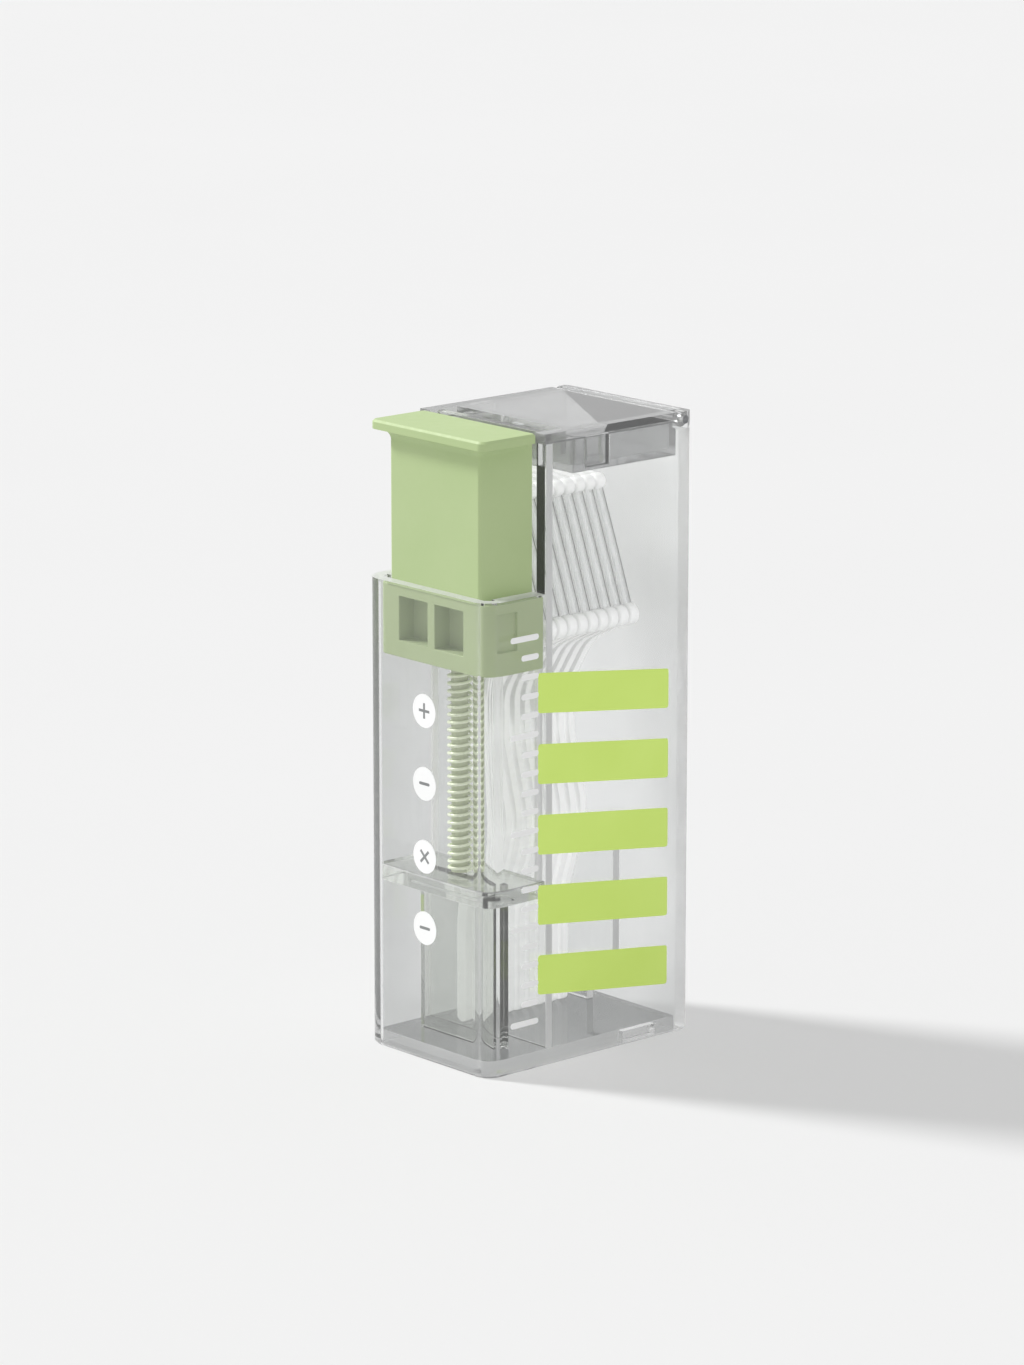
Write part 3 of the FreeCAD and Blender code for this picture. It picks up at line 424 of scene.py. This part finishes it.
def plate_side(face):
    return abs(face.normal.z) < FACING and face.material_index == 0


def low_side(face):
    return face.center.z < LOW_PART * MM and abs(face.normal.x) > FACING


# Faces inside the carriage's recesses, which take the painted shade.
def in_recess(face):
    x, y, z = face.center
    ahead = carriage_low[1] + RECESS_DEPTHS[0] * MM < y < carriage_low[1] + RECESS_DEPTHS[1] * MM
    level = carriage_low[2] + RECESS_HEIGHTS[0] * MM < z < carriage_low[2] + RECESS_HEIGHTS[1] * MM
    return ahead and level and abs(x) < RECESS_REACH * MM


for node, material, chosen in (
    ("case_body", rear_clear, rear_wall),
    ("case_body", rim_clear, notch_rim),
    ("case_body", painted_shade_left_clear, left_wall),
    ("base_cover", side_clear, plate_side),
    ("inner_partition", frosted, low_side),
    ("pick_follower", frosted, low_side),
    ("slider_carriage", painted_shade_recess_green, in_recess),
):
    mesh = bpy.data.objects[node + "_dressed"].data
    mesh.materials.append(material)
    for face in mesh.polygons:
        if chosen(face):
            face.material_index = len(mesh.materials) - 1


def tube(name, mesh, rows, angle, paints):
    """The mesh closed around its rows of points. Paints gives the material of each strip along them."""
    count = len(paints)
    for one, two in zip(rows, rows[1:]):
        for index in range(count):
            after = (index + 1) % count
            face = mesh.faces.new((one[index], one[after], two[after], two[index]))
            face.material_index = paints[index]
    mesh.faces.new(rows[0])
    mesh.faces.new(reversed(rows[-1]))
    bmesh.ops.recalc_face_normals(mesh, faces=mesh.faces)
    data = bpy.data.meshes.new(name)
    mesh.to_mesh(data)
    mesh.free()
    smoothed(data, angle)
    return data


def ribbon(number):
    """A pick's floss: a thin film with a rolled rim along each edge, taut between the two tips."""
    node = "floss_tape_" + number
    low, high = (Vector(corner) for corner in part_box(node))
    middle = (low.y + high.y) / 2
    top = Vector((low.x, middle, high.z))
    foot = Vector((high.x, middle, low.z))
    run = (foot - top).normalized()
    across = run.cross(Vector((0, 1, 0)))
    half = (high.y - low.y) / 2 / MM
    film, roll, slack = 0.05, 0.11, 0.06
    arc, arc_steps = 300, 8
    section = []
    for side in (-1, 1):
        centre = side * (half - roll)
        for step in range(arc_steps + 1):
            a = math.radians(-arc / 2 + arc * step / arc_steps)
            section.append((centre + side * roll * math.cos(a), side * roll * math.sin(a)))
        if side < 0:
            section.append((0, film))
    section.append((0, -film))
    # Strips on the rolled rims take the dark rim material, a painted shade line along each floss edge.
    paints = []
    for (start, _), (end, _) in zip(section, section[1:] + section[:1]):
        rolled = (start + end) / 2 > half - 2 * roll and abs(start - end) < half / 2
        paints.append(1 if rolled else 0)
    mesh = bmesh.new()
    rows = []
    steps = 12
    for step in range(steps + 1):
        share = step / steps
        here = top.lerp(foot, share)
        sag = slack * math.sin(math.pi * share)
        rows.append([mesh.verts.new(here + Vector((0, 1, 0)) * (y * MM) + across * ((out + sag) * MM))
                     for y, out in section])
    piece = linked(node + "_ribbon", tube(node, mesh, rows, 50, paints))
    finished(piece, frame["nodes"][node]["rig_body"], floss.material, [node])
    piece.data.materials.append(rim.material)


def coil():
    """The button's spring: wire wound round its axis, with a close turn at each end."""
    axis = (0.0, -11.8)
    low, high, radius, thick, turns = 26.82, 56.58, 1.575, 0.225, 28
    steps, sides = 28, 10
    end = 2 * thick * 0.98
    mesh = bmesh.new()
    rows = []
    for step in range(turns * steps + 1):
        turn = step / steps
        share = min(max((turn - 1.0) / (turns - 2.0), 0.0), 1.0)
        z = low + end * min(turn, 1.0) + (high - low - 2 * end) * share + end * max(turn - turns + 1.0, 0.0)
        angle = 2 * math.pi * turn
        out = Vector((math.cos(angle), math.sin(angle), 0))
        centre = Vector((axis[0], axis[1], z)) + out * radius
        row = []
        for side in range(sides):
            a = 2 * math.pi * side / sides
            ray = out * math.cos(a) + Vector((0, 0, math.sin(a)))
            row.append(mesh.verts.new((centre + ray * thick) * MM))
        rows.append(row)
    piece = linked("return_spring_coil", tube("coil", mesh, rows, 60, [0] * sides))
    finished(piece, "button", wire.material, ["return_spring"])
    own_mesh(piece)


for number in PICKS:
    ribbon(number)
coil()


# Prints on the shell. Lengths are in millimetres.
INK = 0.03
FRONT_PLANE = -19.1
SIGN_PLANE = -19.12
RIGHT_PLANE = 13.05


def circle(radius, count=48):
    angles = [2 * math.pi * k / count for k in range(count)]
    return [(radius * math.cos(a), radius * math.sin(a)) for a in angles]


def turned(points, degrees):
    a = math.radians(degrees)
    return [(x * math.cos(a) - y * math.sin(a), x * math.sin(a) + y * math.cos(a)) for x, y in points]


def capsule(length, width, count=8):
    radius = width / 2
    half = length / 2 - radius
    points = []
    for end, start in ((half, -90), (-half, 90)):
        for k in range(count + 1):
            a = math.radians(start + 180 * k / count)
            points.append((end + radius * math.cos(a), radius * math.sin(a)))
    return points


def rounded(points, radius, count=6):
    """A polygon with its corners rounded."""
    made = []
    for index, corner in enumerate(points):
        here = Vector(corner)
        before = (Vector(points[index - 1]) - here).normalized()
        after = (Vector(points[(index + 1) % len(points)]) - here).normalized()
        reach = radius / math.tan(before.angle(after) / 2)
        start, end = here + before * reach, here + after * reach
        for k in range(count + 1):
            t = k / count
            made.append(tuple(start * (1 - t) ** 2 + here * 2 * t * (1 - t) + end * t ** 2))
    return made


def plus_sign(reach, width):
    r, w = reach, width / 2
    return [(w, w), (r, w), (r, -w), (w, -w), (w, -r), (-w, -r),
            (-w, -w), (-r, -w), (-r, w), (-w, w), (-w, r), (w, r)]


def printed(name, points, place, material):
    """A thin print with the points as its outline, set in the shell's frame by place."""
    curve = bpy.data.curves.new(name, "CURVE")
    curve.dimensions = "2D"
    curve.fill_mode = "BOTH"
    curve.extrude = INK * MM / 2
    spline = curve.splines.new("POLY")
    spline.points.add(len(points) - 1)
    spline.points.foreach_set("co", [number for x, y in points for number in (x * MM, y * MM, 0, 1)])
    spline.use_cyclic_u = True
    made = linked(name + "_curve", curve)
    bpy.context.view_layer.update()
    solid = made.evaluated_get(bpy.context.evaluated_depsgraph_get())
    mesh = bpy.data.meshes.new_from_object(solid)
    bpy.data.objects.remove(made)
    mesh.transform(place)
    piece = finished(linked(name, mesh), "case", material)
    piece.visible_diffuse = False


def on_front(x, z, y):
    """Print axes: right along X, up along Z, out of the front face."""
    return Matrix(((1, 0, 0, x * MM), (0, 0, -1, y * MM), (0, 1, 0, z * MM), (0, 0, 0, 1)))


def on_side(y, z):
    """Print axes: right along Y, up along Z, out of the right face."""
    return Matrix(((0, 0, 1, RIGHT_PLANE * MM), (1, 0, 0, y * MM), (0, 1, 0, z * MM), (0, 0, 0, 1)))


DISC_X = -0.1
DISC_RADIUS = 2.4
DISCS = (
    (50.56, plus_sign(1.1, 0.38)),
    (40.14, capsule(2.2, 0.42)),
    (29.65, turned(plus_sign(1.2, 0.38), 45)),
    (19.32, capsule(2.2, 0.42)),
)
for index, (z, sign) in enumerate(DISCS, start=1):
    printed(f"front_mark_{index}", circle(DISC_RADIUS), on_front(DISC_X, z, FRONT_PLANE), white_ink)
    printed(f"front_sign_{index}", sign, on_front(DISC_X, z, SIGN_PLANE), dark_ink)

BAR = [(-12.3, -1.2), (12.3, -4.4), (12.3, 1.3), (-12.3, 4.5)]
BAR_ROUND = 0.5
BAR_Y = 2.6
BAR_FOOT, BAR_STEP, BAR_COUNT = 11.9, 10.1, 5
for index in range(BAR_COUNT):
    place = on_side(BAR_Y, BAR_FOOT + BAR_STEP * index)
    printed(f"side_bar_{index + 1}", rounded(BAR, BAR_ROUND), place, lime_ink)

TICK_END = -9.6
TICK_WIDTH = 0.85
LONG_TICK, SHORT_TICK, LONG_EVERY = 5.2, 3.2, 5
TICK_FOOT, TICK_STEP, TICK_COUNT = 7, 2.75, 21
for index in range(TICK_COUNT):
    reach = LONG_TICK if index % LONG_EVERY == 0 else SHORT_TICK
    place = on_side(TICK_END - reach / 2, TICK_FOOT + TICK_STEP * index)
    printed(f"side_tick_{index + 1:02d}", capsule(reach, TICK_WIDTH), place, white_ink)


# Stage. The sky lights the object with one grey and shows as a paler one, also in gloss and through
# clear pieces.
FLOOR_REACH = 12
LIT_LEVEL = 0.70
SEEN_LEVEL = 0.855

corners = ((-1, -1), (1, -1), (1, 1), (-1, 1))
sheet = bpy.data.meshes.new("floor")
sheet.from_pydata([(x * FLOOR_REACH, y * FLOOR_REACH, 0) for x, y in corners], [], [(0, 1, 2, 3)])
floor = linked("floor", sheet)
floor.data.materials.append(paper.material)

world = bpy.data.worlds.new("studio")
scene.world = world
world.use_nodes = True
world.cycles.sampling_method = "NONE"
sky = world.node_tree
lit = sky.nodes["Background"]
lit.inputs["Color"].default_value = (LIT_LEVEL, LIT_LEVEL, LIT_LEVEL, 1)
seen = sky.nodes.new("ShaderNodeBackground")
seen.inputs["Color"].default_value = (SEEN_LEVEL, SEEN_LEVEL, SEEN_LEVEL, 1)
path = sky.nodes.new("ShaderNodeLightPath")
shown = path.outputs["Is Camera Ray"]
for ray in ("Is Glossy Ray", "Is Transmission Ray"):
    either = sky.nodes.new("ShaderNodeMath")
    either.operation = "MAXIMUM"
    sky.links.new(shown, either.inputs[0])
    sky.links.new(path.outputs[ray], either.inputs[1])
    shown = either.outputs[0]
blend = sky.nodes.new("ShaderNodeMixShader")
for index, source in enumerate((shown, lit.outputs[0], seen.outputs[0])):
    sky.links.new(source, blend.inputs[index])
sky.links.new(blend.outputs[0], sky.nodes["World Output"].inputs["Surface"])


def group_of(name, members):
    made = bpy.data.collections.new(name)
    for member in members:
        made.objects.link(member)
    return made


def sun(name, azimuth, elevation, strength, spread, lights, blockers):
    """A soft sun on the first group of objects, which only the second group keeps off them."""
    data = bpy.data.lights.new(name, "SUN")
    data.energy = strength
    data.angle = math.radians(spread)
    data.cycles.use_multiple_importance_sampling = False
    made = linked(name, data)
    made.matrix_world = towards(azimuth, elevation).to_track_quat("Z", "Y").to_matrix().to_4x4()
    made.light_linking.receiver_collection = group_of(name + "_lights", lights)
    made.light_linking.blocker_collection = group_of(name + "_blockers", blockers)


pieces = [piece for piece in scene.objects if piece.type == "MESH" and piece != floor]
solid_pieces = [piece for piece in pieces if piece.visible_diffuse]
picks = [piece for piece in solid_pieces if piece.name.startswith("floss_")]
sun("key", azimuth=-63, elevation=42, strength=2.5, spread=11, lights=pieces, blockers=solid_pieces)
sun("pick_fill", azimuth=80, elevation=12, strength=1.0, spread=12, lights=picks, blockers=solid_pieces)
sun("floor_key", azimuth=-63, elevation=28, strength=2.26, spread=11, lights=[floor], blockers=pieces)
